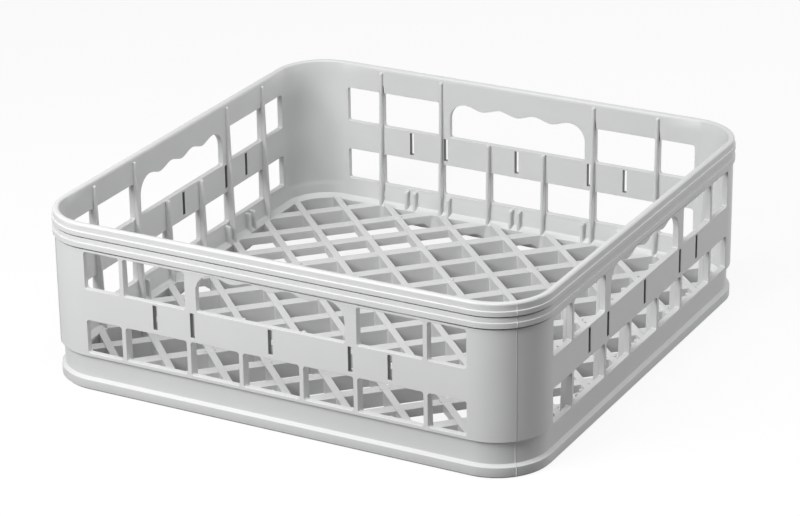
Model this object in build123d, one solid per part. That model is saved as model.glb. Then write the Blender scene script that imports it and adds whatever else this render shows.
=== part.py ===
from build123d import *
import os

# Driving dimensions of the rack, in millimetres
rack_width = 350.0  # across the rim beads, the same both ways
rack_height = 115.0
corner_radius = 37.0  # outer wall face, in plan
wall = 4.0

# Rim, levels measured down from the top
rim_out = 0.4  # rim band beyond the wall face
bead_out = 1.2  # beads beyond the wall face
rim_round = 1.6  # outer edge
rim_chamfer = 1.1  # inner edge
upper_bead_from = 5.1
upper_bead_to = 8.4
lower_bead_from = 12.5
lower_bead_to = 16.1

# Neck and foot, levels measured up from the table
neck_in = 2.4  # how far the neck is set back from the wall face
neck_wall = 2.6
wall_bottom = 24.1
undercut = 1.9  # sharp step below the wall
undercut_height = 0.5
neck_top = 19.0
neck_bottom = 8.8
foot_top = 7.2
foot_wall = 3.0
foot_chamfer = 1.3
foot_channel = 5.0  # height of the groove under the foot

# Floor lattice: wide bars one way, narrow bars the other, a little proud of them
floor_top = 11.6
pitches_per_half = 4
wide_bar = 8.4
narrow_bar = 4.8
wide_bar_drop = 0.6
bar_draft = 0.8  # a bar is this much narrower at the bottom
bar_lift = 0.4  # gap between the deep bars and the table
ledge_width = 4.8
ledge_rise = 2.8  # slope from the floor up to the wall
ledge_rib = 3.0

# Shallow zones under two opposite corners of the floor
relief_top = 5.1  # underside of the shallow bars
relief_edge = 0.3  # distance from the ledge
relief_strip = 17.0  # breadth of the arms along the walls
relief_reach = 20.0  # arms run this far past the middle of a wall
relief_slope = 4.0  # sloped ends of the zones

# Window pattern of each wall
mullion = 3.0
window_corner = 1.2  # corners cut off at 45 degrees
corner_window_width = 26.1
lower_sill = 26.5
lower_window_height = 22.9
band_height = 21.3  # between the two rows of windows
rim_to_window = 2.8
slot_width = 3.0
slot_below = 3.0  # band left under a slot
slot_above = 1.6

# Handle opening with its finger scallops
handle_width = 105.2
handle_post = 5.2  # between the handle and the next mullion
scallop_pitch = 26.8
scallop_depth = 3.1
handle_rise = 0.9  # scallop tops above the window tops

# Ribs and tabs on the inside of the walls
rib_width = 2.4
rib_stand = 4.0  # at the floor
rib_tip_stand = 1.0  # at the top of the tall ribs
rib_round = 1.0
rib_below_top = 3.5
tab_top = 25.0
guide_gap = 6.5  # between the two tabs of a guide

# Values that follow from the driving dimensions
wall_face = rack_width / 2 - bead_out
straight = 2 * (wall_face - corner_radius)
pitch = (wall_face - wall / 2) / pitches_per_half
root = wall - 0.5  # ribs start this deep in the wall
bar_end = wall + ledge_width - 1  # bars end in the ledge
ledge_top = floor_top - wide_bar_drop
outer_rib = 2.5 * pitch
short_rib = 0.5 * pitch
post_rib = handle_width / 2 + handle_post + mullion / 2
mid_guide = (outer_rib + post_rib) / 2
window_top = rack_height - lower_bead_to - rim_to_window
lower_window_top = lower_sill + lower_window_height
upper_sill = lower_window_top + band_height
quarter_turns = [Rot(0, 0, 90 * n) for n in range(4)]


def section_at(u):
    """Upright plane across the front wall, x pointing out of the wall face."""
    return Plane(origin=(u, -wall_face, 0), x_dir=(0, -1, 0), z_dir=(-1, 0, 0))


def all_walls(shape):
    """The shape on each of the four walls."""
    return [turn * shape for turn in quarter_turns]


def wall_section():
    """Section through rim, wall, neck, foot and ledge, as out and up."""
    inner_neck = -neck_in - neck_wall
    ledge_in = -wall - ledge_width
    outline = [
        ((-wall, rack_height - rim_chamfer), 0),
        ((rim_chamfer - wall, rack_height), 0),
        ((rim_out, rack_height), rim_round),
        ((rim_out, rack_height - upper_bead_from), 0),
        ((bead_out, rack_height - upper_bead_from), 0),
        ((bead_out, rack_height - upper_bead_to), 0),
        ((rim_out, rack_height - upper_bead_to), 0),
        ((rim_out, rack_height - lower_bead_from), 0),
        ((bead_out, rack_height - lower_bead_from), 0),
        ((bead_out, rack_height - lower_bead_to), 0),
        ((0, rack_height - lower_bead_to), 0),
        ((0, wall_bottom), 0),
        ((-undercut, wall_bottom - undercut_height), 0),
        ((-neck_in, neck_top), 0),
        ((-neck_in, neck_bottom), 0),
        ((0, foot_top), 0),
        ((0, foot_chamfer), 0),
        ((-foot_chamfer, 0), 0),
        ((-foot_wall, 0), 0),
        ((-foot_wall, foot_channel), 0),
        ((ledge_in + ledge_rib, foot_channel), 0),
        ((ledge_in + ledge_rib, bar_lift), 0),
        ((ledge_in, bar_lift), 0),
        ((ledge_in, ledge_top), 0),
        ((inner_neck, ledge_top + ledge_rise), 0),
        ((inner_neck, neck_top), 0),
        ((-wall, wall_bottom), 0),
    ]
    points = [point for point, radius in outline]
    radii = [radius for point, radius in outline]
    return make_face(FilletPolyline(*points, radius=radii, close=True))


def shell():
    """Rim, walls, foot and ledge as one ring of four sides and four corners."""
    section = wall_section()
    side = extrude(section_at(0) * section, straight / 2, both=True)
    corner_axis = Axis((straight / 2, -straight / 2, 0), (0, 0, 1))
    corner = revolve(section_at(straight / 2) * section, corner_axis, 90)
    return Part() + all_walls(side) + all_walls(corner)


def window(left, right, bottom, top):
    """One window outline on a wall, along the wall and up."""
    outline = Rectangle(right - left, top - bottom)
    outline = chamfer(outline.vertices(), window_corner)
    return Pos((left + right) / 2, (bottom + top) / 2) * outline


def handle():
    """Handle outline: straight sill, round ends and a scalloped upper edge."""
    half = handle_width / 2
    top = window_top + handle_rise
    last = 1.5 * scallop_pitch
    end_radius = half - last
    wave = []
    for n in range(7):
        drop = scallop_depth if n % 2 else 0
        wave.append((-last + n * scallop_pitch / 2, top - drop))
    edges = [
        Spline(*wave, tangents=[(1, 0), (1, 0)]),
        CenterArc((last, top - end_radius), end_radius, 0, 90),
        CenterArc((-last, top - end_radius), end_radius, 90, 90),
        Line((half, top - end_radius), (half, upper_sill)),
        Line((-half, top - end_radius), (-half, upper_sill)),
        Line((half, upper_sill), (-half, upper_sill)),
    ]
    outline = make_face(edges)
    lower_corners = outline.vertices().group_by(Axis.Y)[0]
    return chamfer(lower_corners, window_corner)


def wall_pattern():
    """All openings of one wall: two rows of windows, the handle and the slots."""
    gap = mullion / 2
    corner_edge = outer_rib + gap + corner_window_width
    openings = handle()
    openings += window(-short_rib + gap, short_rib - gap, lower_sill, lower_window_top)
    slot_height = band_height - slot_below - slot_above
    slot_middle = lower_window_top + slot_below + slot_height / 2
    openings += Pos(0, slot_middle) * Rectangle(slot_width, slot_height)
    right = window(short_rib + gap, post_rib - gap, lower_sill, lower_window_top)
    for bottom, top in [(lower_sill, lower_window_top), (upper_sill, window_top)]:
        right += window(post_rib + gap, outer_rib - gap, bottom, top)
        right += window(outer_rib + gap, corner_edge, bottom, top)
    for u in [post_rib - guide_gap / 2, mid_guide]:
        right += Pos(u, slot_middle) * Rectangle(slot_width, slot_height)
    return openings + right + mirror(right, Plane.YZ)


def pattern_cutter():
    """Wall pattern pushed through the front wall."""
    inside = Plane(origin=(0, -wall_face + wall + 1, 0), x_dir=(1, 0, 0), z_dir=(0, -1, 0))
    return extrude(inside * wall_pattern(), wall + bead_out + 2)


def rib(u, top):
    """Upright rib on the inside of the front wall, leaning back towards its top."""
    bottom = ledge_top - 1
    lean = (rib_stand - rib_tip_stand) / (rack_height - rib_below_top - bottom)
    points = [
        (-root, bottom),
        (-root, top),
        (-wall - rib_stand + lean * (top - bottom), top),
        (-wall - rib_stand, bottom),
    ]
    profile = make_face(FilletPolyline(*points, radius=[0, 0, rib_round, 0], close=True))
    return extrude(section_at(u) * profile, rib_width / 2, both=True)


def wall_ribs():
    """Ribs and guide tabs of the front wall."""
    tall = rack_height - rib_below_top
    places = [
        (outer_rib, tall),
        (post_rib, tall),
        (short_rib, upper_sill),
        (post_rib - guide_gap, tab_top),
        (mid_guide - guide_gap / 2, tab_top),
        (mid_guide + guide_gap / 2, tab_top),
        (guide_gap / 2, tab_top),
    ]
    ribs = []
    for u, top in places:
        ribs.append(rib(u, top))
        ribs.append(rib(-u, top))
    return ribs


def bar(width, top, offset):
    """Lattice bar along x with drafted sides."""
    section = Polyline(
        (width / 2, top),
        (-width / 2, top),
        ((bar_draft - width) / 2, bar_lift),
        ((width - bar_draft) / 2, bar_lift),
        close=True,
    )
    return Pos(0, offset, 0) * extrude(Plane.YZ * make_face(section), rack_width * 0.75, both=True)


def lattice():
    """Diamond floor of two sets of crossing bars, ending in the ledge."""
    bars = []
    count = 2 * pitches_per_half - 1
    for n in range(-count, count):
        offset = (n + 0.5) * pitch / 2**0.5
        bars.append(Rot(0, 0, 45) * bar(wide_bar, floor_top - wide_bar_drop, offset))
        bars.append(Rot(0, 0, -45) * bar(narrow_bar, floor_top, offset))
    size = 2 * (wall_face - bar_end)
    limit = extrude(RectangleRounded(size, size, corner_radius - bar_end), floor_top + 1)
    return (Part() + bars) & limit


def reliefs():
    """Shallow zones under the left back and the right front corner of the floor."""
    edge = wall_face - wall - ledge_width - relief_edge
    inner = edge - relief_strip
    near = pitches_per_half * pitch
    far = near + 2 * pitch
    outline = Polyline(
        (edge - far, edge),
        (relief_reach, edge),
        (relief_reach, inner),
        (inner - near, inner),
        (-inner, near - inner),
        (-inner, -relief_reach),
        (-edge, -relief_reach),
        (-edge, far - edge),
        close=True,
    )
    block = Pos(0, 0, -1) * extrude(make_face(outline), relief_top + 1)
    block = chamfer(block.faces().sort_by(Axis.Z)[-1].edges(), relief_slope)
    return [block, Rot(0, 0, 180) * block]


body = shell() - all_walls(pattern_cutter())
for turn in quarter_turns:
    body += [turn * piece for piece in wall_ribs()]
rack = body + lattice() - reliefs()

os.makedirs("parts", exist_ok=True)
export_step(rack, "parts/glass_rack.step")
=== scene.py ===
import math

import bmesh
import bpy
from mathutils import Matrix, Vector


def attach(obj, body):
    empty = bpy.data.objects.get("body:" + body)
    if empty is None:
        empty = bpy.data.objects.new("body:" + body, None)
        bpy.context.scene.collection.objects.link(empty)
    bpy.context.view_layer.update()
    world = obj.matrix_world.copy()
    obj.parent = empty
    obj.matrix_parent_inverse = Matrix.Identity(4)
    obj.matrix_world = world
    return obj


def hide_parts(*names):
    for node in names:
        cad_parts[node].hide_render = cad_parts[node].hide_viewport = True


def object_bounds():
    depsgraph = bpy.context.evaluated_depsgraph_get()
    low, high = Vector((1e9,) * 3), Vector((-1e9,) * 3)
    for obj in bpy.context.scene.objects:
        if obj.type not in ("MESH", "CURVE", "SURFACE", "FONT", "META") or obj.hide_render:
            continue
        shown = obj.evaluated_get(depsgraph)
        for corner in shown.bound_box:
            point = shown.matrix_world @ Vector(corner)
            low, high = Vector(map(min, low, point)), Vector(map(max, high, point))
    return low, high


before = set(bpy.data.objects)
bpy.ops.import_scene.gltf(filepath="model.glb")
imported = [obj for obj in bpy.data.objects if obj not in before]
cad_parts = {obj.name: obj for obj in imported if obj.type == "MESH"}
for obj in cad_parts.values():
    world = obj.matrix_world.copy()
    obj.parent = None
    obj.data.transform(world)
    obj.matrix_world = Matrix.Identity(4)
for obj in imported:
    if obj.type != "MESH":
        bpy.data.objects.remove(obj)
CAD_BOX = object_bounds()

bl_info = {
    "name": "Glass rack looks",
    "version": (1, 0, 0),
    "blender": (4, 5, 0),
    "location": "3D View > Sidebar > Rack",
    "description": "Dresses the moulded glass rack and sets its studio stage",
    "category": "Object",
}

MM = 0.001
NODE = "glass_rack"

# Main sizes in millimetres; the width and the height come from the frame
RACK_WIDTH = round((CAD_BOX[1][0] - CAD_BOX[0][0]) / MM, 3)
RACK_HEIGHT = round((CAD_BOX[1][2] - CAD_BOX[0][2]) / MM, 3)
WALL = 4.0
CORNER_RADIUS = 37.0
BEAD_OUT = 1.2
WALL_FACE = RACK_WIDTH / 2 - BEAD_OUT
STRAIGHT_HALF = WALL_FACE - CORNER_RADIUS
QUARTER_TURNS = [math.radians(90 * n) for n in range(4)]

# Rim: how far its band stands out from the wall face, and its levels
RIM_OUT = 0.4
RIM_SHOULDER = RACK_HEIGHT - 1.6
UPPER_BEAD_TOP = RACK_HEIGHT - 5.1
UPPER_BEAD_FOOT = RACK_HEIGHT - 8.4
LOWER_BEAD_TOP = RACK_HEIGHT - 12.5
LOWER_BEAD_FOOT = RACK_HEIGHT - 16.1

# Neck and foot: how far they are set back from the wall face, and their levels
WALL_BOTTOM = 24.1
UNDERCUT = 1.9
UNDERCUT_LEVEL = 23.6
NECK_IN = 2.4
NECK_TOP = 19.0
NECK_BOTTOM = 8.8
FOOT_TOP = 7.2
FOOT_CHAMFER = 1.3

# Outer section that the parting ridge follows, as out and up
RIDGE_BOTTOM = 1.4
OUTER_SECTION = [
    (0.0, RIDGE_BOTTOM),
    (0.0, FOOT_TOP),
    (-NECK_IN, NECK_BOTTOM),
    (-NECK_IN, NECK_TOP),
    (-UNDERCUT, UNDERCUT_LEVEL),
    (0.0, WALL_BOTTOM),
    (0.0, LOWER_BEAD_FOOT),
    (BEAD_OUT, LOWER_BEAD_FOOT),
    (BEAD_OUT, LOWER_BEAD_TOP),
    (RIM_OUT, LOWER_BEAD_TOP),
    (RIM_OUT, UPPER_BEAD_FOOT),
    (BEAD_OUT, UPPER_BEAD_FOOT),
    (BEAD_OUT, UPPER_BEAD_TOP),
    (RIM_OUT, UPPER_BEAD_TOP),
    (RIM_OUT, RIM_SHOULDER),
]
RIDGE_SIDES = 8

# Grooves under the beads: upper edge, how far the face there stands out, and height
BEAD_GROOVES = [
    (UPPER_BEAD_FOOT, RIM_OUT, 0.75),
    (LOWER_BEAD_FOOT, 0.0, 1.0),
]

# Finger scallops of the handles
HANDLE_TOP = 97.0
SCALLOP_PITCH = 26.8
SCALLOP_DEPTH = 3.1
SCALLOP_REACH = 1.5 * SCALLOP_PITCH

# Floor bars and the crossings that carry a round pad, in pitches from the middle of the floor
FLOOR_TOP = 11.6
PITCHES_PER_HALF = 4
PITCH = (WALL_FACE - WALL / 2) / PITCHES_PER_HALF
PAD_CROSSINGS = [(0, 1.5), (0, 3.5), (2, 2.5), (2, 3.5), (2.5, 1)]
PAD_SIDES = 24

# Ribs and tabs of one wall, as place from the middle and level of the top
TALL_RIB_TOP = RACK_HEIGHT - 3.5
SHORT_RIB_TOP = 70.7
TAB_TOP = 25.0
POST_RIB = 59.3
MID_GUIDE = 83.35
GUIDE_GAP = 6.5
RIBS = [
    (2.5 * PITCH, TALL_RIB_TOP),
    (POST_RIB, TALL_RIB_TOP),
    (0.5 * PITCH, SHORT_RIB_TOP),
    (POST_RIB - GUIDE_GAP, TAB_TOP),
    (MID_GUIDE - GUIDE_GAP / 2, TAB_TOP),
    (MID_GUIDE + GUIDE_GAP / 2, TAB_TOP),
    (GUIDE_GAP / 2, TAB_TOP),
]

# How far a rib stands out from the wall at its foot and its tip, and how deep its nose sits in it
RIB_FOOT = 12.0
RIB_FOOT_STAND = 4.0
RIB_TIP_STAND = 1.0
NOSE_SINK = 0.5
NOSE_SIDES = 16
NOSE_RINGS = 8

# Narrow upright slots of one wall: places from the middle, half width and levels
SLOT_PLACES = [0.0, POST_RIB - GUIDE_GAP / 2, MID_GUIDE]
SLOT_HALF = 1.5
SLOT_FROM = 52.4
SLOT_TO = 69.1
SLOT_LIP = 0.3

# Closeness of points that belong together: to a level or a face in millimetres, then in metres
NEAR = 0.05
MERGE = 1e-6
CUT = 1e-7

# Eased edges: angle from which an edge is eased, steps, and weight of large faces in the shading
EASED_FROM = math.radians(48)
EASED_STEPS = 2
FACE_WEIGHT = 100
FLAT_WITHIN = math.radians(0.5)

# Soft clouds and fine grain of the plastic, and their shares in its colour and its satin
CLOUDS = {"Scale": 26.0, "Detail": 3.0, "Roughness": 0.55}
GRAIN = {"Scale": 1500.0, "Detail": 2.0, "Roughness": 0.6}
CLOUD_TINT = 0.8
GRAIN_TINT = 0.2
CLOUD_SATIN = 0.12
GRAIN_SATIN = 0.1
GRAIN_BUMP = {"Strength": 0.12, "Distance": 0.2 * MM}
PLASTIC_IOR = 1.49

# Stage in metres: place and side of each soft lamp, their common aim, and the floor
LAMPS = {
    "key": ((-0.32, -0.91, 0.75), 0.56),
    "top": ((0.15, -0.35, 1.4), 0.9),
    "fill": ((1.2, 1.0, 0.75), 0.9),
}
LAMP_TARGET = (0, 0, 0.05)
FLOOR_HALF = 4.0
FLOOR_LEVEL = -0.0002
WHITE = (1, 1, 1)
SENSOR_WIDTH = 36.0


class MouldingSettings(bpy.types.PropertyGroup):
    """Sizes of the moulded shape."""

    edge_round: bpy.props.FloatProperty(
        name="Edge rounding",
        description="Rounding of every sharp moulded edge",
        default=0.25 * MM,
        unit="LENGTH",
    )
    groove_depth: bpy.props.FloatProperty(
        name="Groove depth",
        description="Depth of the fine groove under each bead",
        default=0.9 * MM,
        unit="LENGTH",
    )
    nose_radius: bpy.props.FloatProperty(
        name="Rib nose radius",
        description="Radius of the round noses of the ribs and tabs",
        default=1.2 * MM,
        unit="LENGTH",
    )
    pad_diameter: bpy.props.FloatProperty(
        name="Pad diameter",
        description="Diameter of the round pads on the floor crossings",
        default=7.0 * MM,
        unit="LENGTH",
    )
    pad_depth: bpy.props.FloatProperty(
        name="Pad depth",
        description="How far the pads reach down between the bars",
        default=3.0 * MM,
        unit="LENGTH",
    )
    pad_crown: bpy.props.FloatProperty(
        name="Pad crown",
        description="How far the pads stand proud of the bars",
        default=0.3 * MM,
        unit="LENGTH",
    )
    ridge_radius: bpy.props.FloatProperty(
        name="Parting ridge radius",
        description="Half width of the fine ridge down each corner",
        default=0.24 * MM,
        unit="LENGTH",
    )


class FinishSettings(bpy.types.PropertyGroup):
    """Colour and surface of the plastic, and the lightness of its painted shade."""

    colour: bpy.props.FloatVectorProperty(
        name="Plastic colour",
        description="Light grey of the plastic",
        default=(0.66, 0.665, 0.665),
        subtype="COLOR",
    )
    shade: bpy.props.FloatVectorProperty(
        name="Plastic shade",
        description="Slightly darker grey of the cloudy variation",
        default=(0.61, 0.615, 0.617),
        subtype="COLOR",
    )
    roughness: bpy.props.FloatProperty(
        name="Roughness",
        description="Satin of the moulded skin",
        default=0.42,
        subtype="FACTOR",
    )
    # Painted shade: how light the darker copy of the plastic is inside the narrow slots and on the
    # chamfer under the foot
    painted_shade_share: bpy.props.FloatProperty(
        name="Painted shade lightness",
        description="Lightness left inside the narrow slots and on the chamfer of the foot",
        default=0.3,
        subtype="FACTOR",
    )


class StageSettings(bpy.types.PropertyGroup):
    """Camera, lamps and floor."""

    lens: bpy.props.FloatProperty(
        name="Lens",
        description="Focal length in millimetres on a 36 mm sensor",
        default=137.93,
    )
    azimuth: bpy.props.FloatProperty(
        name="Azimuth",
        description="Turn of the camera round the rack",
        default=0.4953,
        subtype="ANGLE",
    )
    elevation: bpy.props.FloatProperty(
        name="Elevation",
        description="Height of the camera above the horizon",
        default=0.3963,
        subtype="ANGLE",
    )
    roll: bpy.props.FloatProperty(
        name="Roll",
        description="Turn of the picture about the line of sight",
        default=-0.0139,
        subtype="ANGLE",
    )
    distance: bpy.props.FloatProperty(
        name="Distance",
        description="Distance of the camera along the line of sight",
        default=2.0449,
        unit="LENGTH",
    )
    offset: bpy.props.FloatVectorProperty(
        name="Offset",
        description="Sideways and upward place of the camera",
        default=(-0.00223, 0.04776),
        size=2,
        unit="LENGTH",
    )
    key_power: bpy.props.FloatProperty(
        name="Key lamp",
        description="Power of the lamp at the front left",
        default=12.7,
        unit="POWER",
    )
    top_power: bpy.props.FloatProperty(
        name="Top lamp",
        description="Power of the lamp over the rack",
        default=9.5,
        unit="POWER",
    )
    fill_power: bpy.props.FloatProperty(
        name="Fill lamp",
        description="Power of the lamp at the back right",
        default=12.0,
        unit="POWER",
    )
    ambient: bpy.props.FloatProperty(
        name="Ambient",
        description="Strength of the surrounding light",
        default=0.06,
    )
    floor_colour: bpy.props.FloatVectorProperty(
        name="Floor colour",
        description="Grey of the floor for the light that it gives back to the rack",
        default=(0.2, 0.2, 0.2),
        subtype="COLOR",
    )
    seen_floor: bpy.props.FloatVectorProperty(
        name="Seen floor colour",
        description="Pale floor as the eye sees it, with the rack's shadow",
        default=(0.9, 0.9, 0.9),
        subtype="COLOR",
    )
    floor_glow: bpy.props.FloatProperty(
        name="Floor glow",
        description="Share of plain white in the floor as the eye sees it",
        default=0.9,
        subtype="FACTOR",
    )


class Value:
    """A node's socket that takes part in plain arithmetic."""

    def __init__(self, tree, socket):
        self.tree = tree
        self.socket = socket

    def maths(self, operation, first, second):
        """One Math node on two numbers or values."""
        node = self.tree.nodes.new("ShaderNodeMath")
        node.operation = operation
        for place, item in enumerate((first, second)):
            if isinstance(item, Value):
                self.tree.links.new(item.socket, node.inputs[place])
            else:
                node.inputs[place].default_value = item
        return Value(self.tree, node.outputs[0])

    def __add__(self, other):
        return self.maths("ADD", self, other)

    def __radd__(self, other):
        return self.maths("ADD", other, self)

    def __sub__(self, other):
        return self.maths("SUBTRACT", self, other)

    def __rsub__(self, other):
        return self.maths("SUBTRACT", other, self)

    def __mul__(self, other):
        return self.maths("MULTIPLY", self, other)

    def __rmul__(self, other):
        return self.maths("MULTIPLY", other, self)


class NodeTree:
    """A tree that is built up one node at a time."""

    def __init__(self, tree):
        self.tree = tree

    def add(self, kind, settings=None, sockets=None, output=0):
        """One node with its settings and the values or links of its sockets."""
        node = self.tree.nodes.new(kind)
        for name, setting in (settings or {}).items():
            setattr(node, name, setting)
        for name, given in (sockets or {}).items():
            items = given if isinstance(given, list) else [given]
            for item in items:
                if isinstance(item, Value):
                    self.tree.links.new(item.socket, node.inputs[name])
                else:
                    node.inputs[name].default_value = item
        if not node.outputs:
            return None
        return Value(self.tree, node.outputs[output])


class Finish(NodeTree):
    """Node tree of one material or of the world."""

    def __init__(self, owner):
        owner.use_nodes = True
        super().__init__(owner.node_tree)
        self.tree.nodes.clear()


class Shape(NodeTree):
    """Geometry Nodes tree with named sizes and one geometry result."""

    def __init__(self, name, sizes):
        super().__init__(bpy.data.node_groups.new(name, "GeometryNodeTree"))
        face = self.tree.interface
        face.new_socket("Geometry", in_out="INPUT", socket_type="NodeSocketGeometry")
        for label in sizes:
            face.new_socket(label, in_out="INPUT", socket_type="NodeSocketFloat")
        face.new_socket("Material", in_out="INPUT", socket_type="NodeSocketMaterial")
        face.new_socket("Geometry", in_out="OUTPUT", socket_type="NodeSocketGeometry")
        self.inputs = self.tree.nodes.new("NodeGroupInput").outputs
        self.result = self.tree.nodes.new("NodeGroupOutput").inputs["Geometry"]

    def given(self, label):
        """One of the tree's own inputs."""
        return Value(self.tree, self.inputs[label])

    def tube(self, sides):
        """Path along the base's edges, and a closed round tube on it."""
        path = self.add("GeometryNodeMeshToCurve", sockets={"Mesh": self.given("Geometry")})
        profile = self.add(
            "GeometryNodeCurvePrimitiveCircle",
            {"mode": "RADIUS"},
            {"Resolution": sides, "Radius": self.given("Radius")},
        )
        skin = self.add(
            "GeometryNodeCurveToMesh",
            sockets={"Curve": path, "Profile Curve": profile, "Fill Caps": True},
        )
        return path, skin

    def finish(self, geometry):
        """Real geometry in the plastic as the tree's result."""
        real = self.add("GeometryNodeRealizeInstances", sockets={"Geometry": geometry})
        painted = self.add(
            "GeometryNodeSetMaterial",
            sockets={"Geometry": real, "Material": self.given("Material")},
        )
        self.tree.links.new(painted.socket, self.result)


def opaque(colour):
    """A colour with full alpha."""
    return (*colour, 1.0)


def grey_plastic(name="grey moulded plastic", share=1.0):
    """Satin light grey polypropylene with a fine moulded grain, at a share of its lightness; a share
    below one makes a darker copy that paints shade.
    """
    if name in bpy.data.materials:
        return bpy.data.materials[name]
    settings = bpy.context.scene.rack_finish
    material = bpy.data.materials.new(name)
    finish = Finish(material)
    place = finish.add("ShaderNodeTexCoord", output="Object")
    cloud = finish.add("ShaderNodeTexNoise", sockets={"Vector": place, **CLOUDS}, output="Fac")
    grain = finish.add("ShaderNodeTexNoise", sockets={"Vector": place, **GRAIN}, output="Fac")
    dark = opaque(part * share for part in settings.shade)
    light = opaque(part * share for part in settings.colour)
    colour = finish.add(
        "ShaderNodeMix",
        {"data_type": "RGBA"},
        {0: cloud * CLOUD_TINT + grain * GRAIN_TINT, 6: dark, 7: light},
        output=2,
    )
    roughness = (cloud - 0.5) * CLOUD_SATIN + (grain - 0.5) * GRAIN_SATIN + settings.roughness
    bump = finish.add("ShaderNodeBump", sockets={"Height": grain, **GRAIN_BUMP})
    shader = finish.add(
        "ShaderNodeBsdfPrincipled",
        sockets={"Base Color": colour, "Roughness": roughness, "Normal": bump, "IOR": PLASTIC_IOR},
    )
    finish.add("ShaderNodeOutputMaterial", sockets={"Surface": shader})
    return material


def painted_shade_plastic():
    """The same plastic, darker: painted shade inside the narrow slots and along the chamfer under
    the foot.
    """
    return grey_plastic("dull plastic", bpy.context.scene.rack_finish.painted_shade_share)


def dressed(name, mesh):
    """A finished piece at the origin that rides with the rack."""
    piece = bpy.data.objects.new(name, mesh)
    bpy.context.collection.objects.link(piece)
    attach(piece, "root")
    return piece


def base_object(name, mesh):
    """A working object that modifiers are hung on."""
    source = bpy.data.objects.new(name, mesh)
    bpy.context.collection.objects.link(source)
    return source


def settled(source, name):
    """Plain mesh of an object with its modifiers worked in; the object goes."""
    graph = bpy.context.evaluated_depsgraph_get()
    mesh = bpy.data.meshes.new_from_object(source.evaluated_get(graph))
    mesh.name = name
    bpy.data.objects.remove(source)
    return mesh


def grown(name, points, edges, shape, sizes):
    """Plain mesh that a shape makes on base points and edges, at the given sizes."""
    mesh = bpy.data.meshes.new(name + " base")
    mesh.from_pydata(points, edges, [])
    source = base_object(name + " base", mesh)
    modifier = source.modifiers.new("shape", "NODES")
    modifier.node_group = shape.tree
    values = {**sizes, "Material": grey_plastic()}
    for item in shape.tree.interface.items_tree:
        if item.item_type == "SOCKET" and item.in_out == "INPUT" and item.name in values:
            modifier[item.identifier] = values[item.name]
    return settled(source, name)


def even_scallops(work):
    """Brings the finger scallops of the four handles to one even wave."""
    middle = HANDLE_TOP - SCALLOP_DEPTH / 2
    for vertex in work.verts:
        x, y, z = vertex.co / MM
        along, out = (x, abs(y)) if abs(y) > abs(x) else (y, abs(x))
        on_wall = WALL_FACE - WALL - NEAR < out < WALL_FACE + NEAR
        in_wave = abs(along) < SCALLOP_REACH - NEAR and abs(z - middle) < SCALLOP_DEPTH
        if on_wall and in_wave:
            phase = 2 * math.pi * (along + SCALLOP_REACH) / SCALLOP_PITCH
            vertex.co.z = (HANDLE_TOP - SCALLOP_DEPTH * (1 - math.cos(phase)) / 2) * MM


def outward(point):
    """How far a point lies beyond the outer wall face, in millimetres, and the way out."""
    away = Vector((0, 0, 0))
    for axis in range(2):
        reach = abs(point[axis]) / MM - STRAIGHT_HALF
        away[axis] = math.copysign(max(reach, 0), point[axis])
    return away.length - CORNER_RADIUS, away.normalized()


def bead_grooves(work, depth):
    """Sinks a fine groove into the face below each bead of the rim."""
    for top, face_out, height in BEAD_GROOVES:
        bottom = top - height
        bmesh.ops.bisect_plane(
            work,
            geom=work.verts[:] + work.edges[:] + work.faces[:],
            dist=CUT,
            plane_co=(0, 0, bottom * MM),
            plane_no=(0, 0, 1),
        )
        strip = []
        for face in work.faces:
            levels = [vertex.co.z / MM for vertex in face.verts]
            strays = [abs(outward(vertex.co)[0] - face_out) for vertex in face.verts]
            in_band = min(levels) > bottom - NEAR and max(levels) < top + NEAR
            if in_band and max(strays) < NEAR:
                strip.append(face)
        sunk = bmesh.ops.extrude_face_region(work, geom=strip)["geom"]
        for item in sunk:
            if isinstance(item, bmesh.types.BMVert):
                item.co -= outward(item.co)[1] * depth
        work.normal_update()


def in_slot(point):
    """Whether a point lies on the inside of one of the narrow slots."""
    x, y, z = (abs(part) / MM for part in point)
    along, out = min(x, y), max(x, y)
    within_wall = WALL_FACE - WALL + SLOT_LIP < out < WALL_FACE - SLOT_LIP
    beside = min(abs(along - place) for place in SLOT_PLACES) < SLOT_HALF + NEAR
    return within_wall and beside and SLOT_FROM - NEAR < z < SLOT_TO + NEAR


def on_foot_chamfer(point):
    """Whether a point lies on the chamfer along the lower edge of the foot."""
    beyond = outward(point)[0]
    return -FOOT_CHAMFER < beyond < 0 and 0 < point.z / MM < FOOT_CHAMFER


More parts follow.
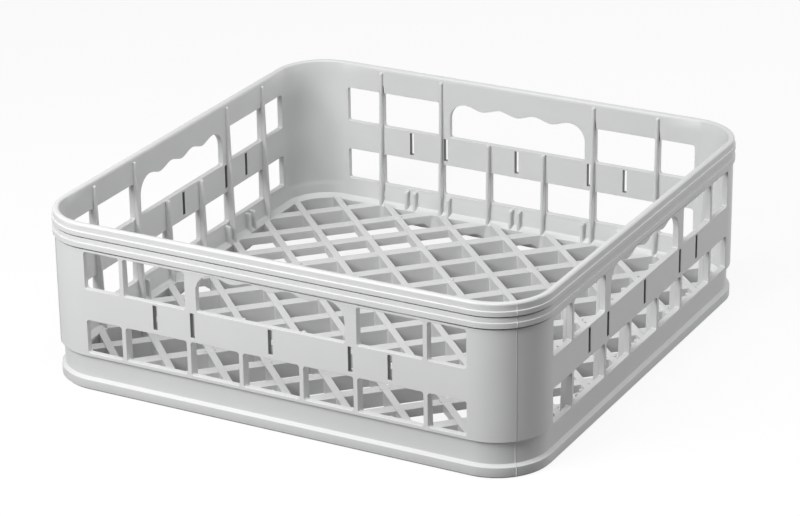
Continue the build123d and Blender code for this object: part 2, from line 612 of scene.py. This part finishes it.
class RACK_OT_moulding(bpy.types.Operator):
    """Builds the moulded rack with eased edges"""

    bl_idname = "rack.moulding"
    bl_label = "Moulded rack"

    def execute(self, context):
        settings = context.scene.rack_moulding
        work = bmesh.new()
        work.from_mesh(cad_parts[NODE].data)
        bmesh.ops.remove_doubles(work, verts=work.verts, dist=MERGE)
        bmesh.ops.join_triangles(
            work,
            faces=work.faces,
            angle_face_threshold=FLAT_WITHIN,
            angle_shape_threshold=math.radians(180),
        )
        even_scallops(work)
        bead_grooves(work, settings.groove_depth)
        mesh = bpy.data.meshes.new("moulding base")
        work.to_mesh(mesh)
        work.free()
        custom = mesh.attributes.get("custom_normal")
        if custom:
            mesh.attributes.remove(custom)
        mesh.shade_smooth()
        source = base_object("moulding base", mesh)
        bevel = source.modifiers.new("eased edges", "BEVEL")
        bevel.width = settings.edge_round
        bevel.segments = EASED_STEPS
        bevel.limit_method = "ANGLE"
        bevel.angle_limit = EASED_FROM
        bevel.use_clamp_overlap = False
        bevel.loop_slide = False
        weighted = source.modifiers.new("flat faces", "WEIGHTED_NORMAL")
        weighted.weight = FACE_WEIGHT
        mesh = settled(source, "rack_moulding")
        mesh.materials.clear()
        mesh.materials.append(grey_plastic())
        mesh.materials.append(painted_shade_plastic())
        # Faces inside the narrow slots and on the chamfer under the foot take the darker copy as
        # painted shade
        for polygon in mesh.polygons:
            painted_shade = in_slot(polygon.center) or on_foot_chamfer(polygon.center)
            polygon.material_index = int(painted_shade)
        piece = dressed("rack_moulding", mesh)
        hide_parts(NODE)
        return {"FINISHED"}


def nose_line(along, top, radius):
    """Middle line of a rib's round nose on the front wall, foot first, in millimetres."""
    ends = []
    for level in (RIB_FOOT, top - radius):
        rise = (level - RIB_FOOT) / (TALL_RIB_TOP - RIB_FOOT)
        stand = RIB_FOOT_STAND + (RIB_TIP_STAND - RIB_FOOT_STAND) * rise
        ends.append(Vector((along, WALL + stand - NOSE_SINK - WALL_FACE, level)))
    return ends


class RACK_OT_noses(bpy.types.Operator):
    """Gives the ribs and tabs their round noses"""

    bl_idname = "rack.noses"
    bl_label = "Rib noses"

    def execute(self, context):
        radius = context.scene.rack_moulding.nose_radius
        points = []
        edges = []
        for turn in QUARTER_TURNS:
            wall = Matrix.Rotation(turn, 3, "Z")
            for along, top in RIBS:
                for side in (1, -1):
                    edges.append((len(points), len(points) + 1))
                    points += [wall @ end * MM for end in nose_line(side * along, top, radius / MM)]
        shape = Shape("rib noses", ["Radius"])
        path, nose = shape.tube(NOSE_SIDES)
        ball = shape.add(
            "GeometryNodeMeshUVSphere",
            sockets={"Segments": NOSE_SIDES, "Rings": NOSE_RINGS, "Radius": shape.given("Radius")},
        )
        tips = shape.add("GeometryNodeInstanceOnPoints", sockets={"Points": path, "Instance": ball})
        noses = shape.add("GeometryNodeJoinGeometry", sockets={"Geometry": [nose, tips]})
        shape.finish(noses)
        mesh = grown("rib_noses", points, edges, shape, {"Radius": radius})
        mesh.shade_smooth()
        dressed("rib_noses", mesh)
        return {"FINISHED"}


def pad_spots():
    """Places of all pads: each crossing with its mirror images across the floor."""
    spots = set()
    for across, along in PAD_CROSSINGS:
        for x, y in ((across, along), (along, across)):
            for side in (1, -1):
                for end in (1, -1):
                    spots.add((side * x, end * y))
    return [(x * PITCH * MM, y * PITCH * MM, FLOOR_TOP * MM) for x, y in sorted(spots)]


class RACK_OT_pads(bpy.types.Operator):
    """Sets round pads on some crossings of the floor bars"""

    bl_idname = "rack.pads"
    bl_label = "Floor pads"

    def execute(self, context):
        settings = context.scene.rack_moulding
        shape = Shape("floor pads", ["Diameter", "Depth", "Crown"])
        radius = shape.given("Diameter") * 0.5
        depth = shape.given("Depth")
        height = shape.given("Crown")
        crown = shape.add(
            "GeometryNodeMeshCone",
            sockets={
                "Vertices": PAD_SIDES,
                "Radius Top": radius - height,
                "Radius Bottom": radius,
                "Depth": height,
            },
        )
        stem = shape.add(
            "GeometryNodeMeshCylinder",
            {"fill_type": "NGON"},
            {"Vertices": PAD_SIDES, "Radius": radius, "Depth": depth},
        )
        down = shape.add("ShaderNodeCombineXYZ", sockets={"Z": depth * -0.5})
        stem = shape.add("GeometryNodeTransform", sockets={"Geometry": stem, "Translation": down})
        pad = shape.add("GeometryNodeJoinGeometry", sockets={"Geometry": [crown, stem]})
        spots = shape.add("GeometryNodeMeshToPoints", sockets={"Mesh": shape.given("Geometry")})
        pads = shape.add("GeometryNodeInstanceOnPoints", sockets={"Points": spots, "Instance": pad})
        shape.finish(pads)
        sizes = {
            "Diameter": settings.pad_diameter,
            "Depth": settings.pad_depth,
            "Crown": settings.pad_crown,
        }
        mesh = grown("floor_pads", pad_spots(), [], shape, sizes)
        dressed("floor_pads", mesh)
        return {"FINISHED"}


class RACK_OT_parting(bpy.types.Operator):
    """Draws the fine parting ridge down each corner"""

    bl_idname = "rack.parting"
    bl_label = "Parting ridges"

    def execute(self, context):
        settings = context.scene.rack_moulding
        points = []
        edges = []
        for turn in QUARTER_TURNS:
            angle = math.radians(45) + turn
            way = Vector((math.cos(angle), math.sin(angle), 0))
            middle = way * STRAIGHT_HALF * math.sqrt(2)
            first = len(points)
            for out, up in OUTER_SECTION:
                spot = middle + way * (CORNER_RADIUS + out) + Vector((0, 0, up))
                points.append(spot * MM)
            edges += [(first + n, first + n + 1) for n in range(len(OUTER_SECTION) - 1)]
        shape = Shape("parting ridges", ["Radius"])
        path, ridge = shape.tube(RIDGE_SIDES)
        shape.finish(ridge)
        mesh = grown("parting_ridges", points, edges, shape, {"Radius": settings.ridge_radius})
        mesh.shade_smooth()
        dressed("parting_ridges", mesh)
        return {"FINISHED"}


def area_lamp(name, place, side, power):
    """Large square soft lamp, turned towards the rack."""
    data = bpy.data.lights.new(name, "AREA")
    data.shape = "SQUARE"
    data.size = side
    data.energy = power
    lamp = bpy.data.objects.new(name, data)
    lamp.location = place
    aim = Vector(LAMP_TARGET) - Vector(place)
    lamp.rotation_euler = aim.to_track_quat("-Z", "Y").to_euler()
    lamp.visible_camera = False
    bpy.context.collection.objects.link(lamp)


def seen_rays(finish):
    """One for rays of the camera, of gloss and of clear material."""
    path = finish.add("ShaderNodeLightPath", output="Is Camera Ray")
    node = path.socket.node
    glossy = Value(finish.tree, node.outputs["Is Glossy Ray"])
    clear = Value(finish.tree, node.outputs["Is Transmission Ray"])
    return path + glossy + clear


def studio_floor(settings):
    """Floor that is nearly white to the eye and keeps the rack's shadow."""
    material = bpy.data.materials.new("pale floor")
    finish = Finish(material)
    lit = finish.add("ShaderNodeBsdfDiffuse", sockets={"Color": opaque(settings.floor_colour)})
    pale = finish.add("ShaderNodeBsdfDiffuse", sockets={"Color": opaque(settings.seen_floor)})
    glow = finish.add("ShaderNodeEmission", sockets={"Color": opaque(WHITE), "Strength": 1.0})
    eye = finish.add("ShaderNodeMixShader", sockets={0: settings.floor_glow, 1: pale, 2: glow})
    mixed = finish.add("ShaderNodeMixShader", sockets={0: seen_rays(finish), 1: lit, 2: eye})
    finish.add("ShaderNodeOutputMaterial", sockets={"Surface": mixed})
    mesh = bpy.data.meshes.new("floor")
    signs = [(-1, -1), (1, -1), (1, 1), (-1, 1)]
    corners = [(x * FLOOR_HALF, y * FLOOR_HALF, FLOOR_LEVEL) for x, y in signs]
    mesh.from_pydata(corners, [], [(0, 1, 2, 3)])
    mesh.materials.append(material)
    floor = bpy.data.objects.new("floor", mesh)
    bpy.context.collection.objects.link(floor)


def studio_world(strength):
    """Even surrounding light, white to the eye."""
    world = bpy.data.worlds.new("studio")
    finish = Finish(world)
    soft = finish.add("ShaderNodeBackground", sockets={"Color": opaque(WHITE), "Strength": strength})
    white = finish.add("ShaderNodeBackground", sockets={"Color": opaque(WHITE), "Strength": 1.0})
    mixed = finish.add("ShaderNodeMixShader", sockets={0: seen_rays(finish), 1: soft, 2: white})
    finish.add("ShaderNodeOutputWorld", sockets={"Surface": mixed})
    bpy.context.scene.world = world


def studio_camera(settings):
    """Camera at the photograph's angle."""
    turn = settings.azimuth
    rise = settings.elevation
    ahead = Vector(
        (
            -math.sin(turn) * math.cos(rise),
            math.cos(turn) * math.cos(rise),
            -math.sin(rise),
        )
    )
    right = Vector((math.cos(turn), math.sin(turn), 0))
    up = right.cross(ahead)
    place = -ahead * settings.distance + right * settings.offset[0] + up * settings.offset[1]
    rolled_right = right * math.cos(settings.roll) + up * math.sin(settings.roll)
    rolled_up = up * math.cos(settings.roll) - right * math.sin(settings.roll)
    data = bpy.data.cameras.new("photo angle")
    data.sensor_fit = "HORIZONTAL"
    data.sensor_width = SENSOR_WIDTH
    data.lens = settings.lens
    camera = bpy.data.objects.new("photo angle", data)
    axes = Matrix((rolled_right, rolled_up, -ahead)).transposed()
    camera.matrix_world = Matrix.Translation(place) @ axes.to_4x4()
    bpy.context.collection.objects.link(camera)
    bpy.context.scene.camera = camera


class RACK_OT_stage(bpy.types.Operator):
    """Sets the floor, the lamps, the surrounding light and the camera"""

    bl_idname = "rack.stage"
    bl_label = "Studio stage"

    def execute(self, context):
        settings = context.scene.rack_stage
        context.scene.view_settings.view_transform = "Standard"
        studio_floor(settings)
        studio_world(settings.ambient)
        for name, (place, side) in LAMPS.items():
            area_lamp(name, place, side, getattr(settings, name + "_power"))
        studio_camera(settings)
        return {"FINISHED"}


class RACK_PT_sidebar(bpy.types.Panel):
    """Pieces and settings of the glass rack"""

    bl_idname = "RACK_PT_sidebar"
    bl_label = "Glass rack"
    bl_space_type = "VIEW_3D"
    bl_region_type = "UI"
    bl_category = "Rack"

    def draw(self, context):
        for operator in PIECES:
            self.layout.operator(operator.bl_idname)
        for group in SETTINGS:
            box = self.layout.box()
            values = getattr(context.scene, group)
            for name in SETTINGS[group].__annotations__:
                box.prop(values, name)


PIECES = [RACK_OT_moulding, RACK_OT_noses, RACK_OT_pads, RACK_OT_parting, RACK_OT_stage]
SETTINGS = {
    "rack_moulding": MouldingSettings,
    "rack_finish": FinishSettings,
    "rack_stage": StageSettings,
}
CLASSES = [*SETTINGS.values(), *PIECES, RACK_PT_sidebar]


def register():
    """Adds the settings, the operators and the panel."""
    for item in CLASSES:
        bpy.utils.register_class(item)
    for group, settings in SETTINGS.items():
        setattr(bpy.types.Scene, group, bpy.props.PointerProperty(type=settings))


def unregister():
    """Takes them away again."""
    for group in SETTINGS:
        delattr(bpy.types.Scene, group)
    for item in reversed(CLASSES):
        bpy.utils.unregister_class(item)


def main():
    """Makes every piece, then the stage."""
    register()
    bpy.ops.rack.moulding()
    bpy.ops.rack.noses()
    bpy.ops.rack.pads()
    bpy.ops.rack.parting()
    bpy.ops.rack.stage()


if __name__ == "__main__":
    main()
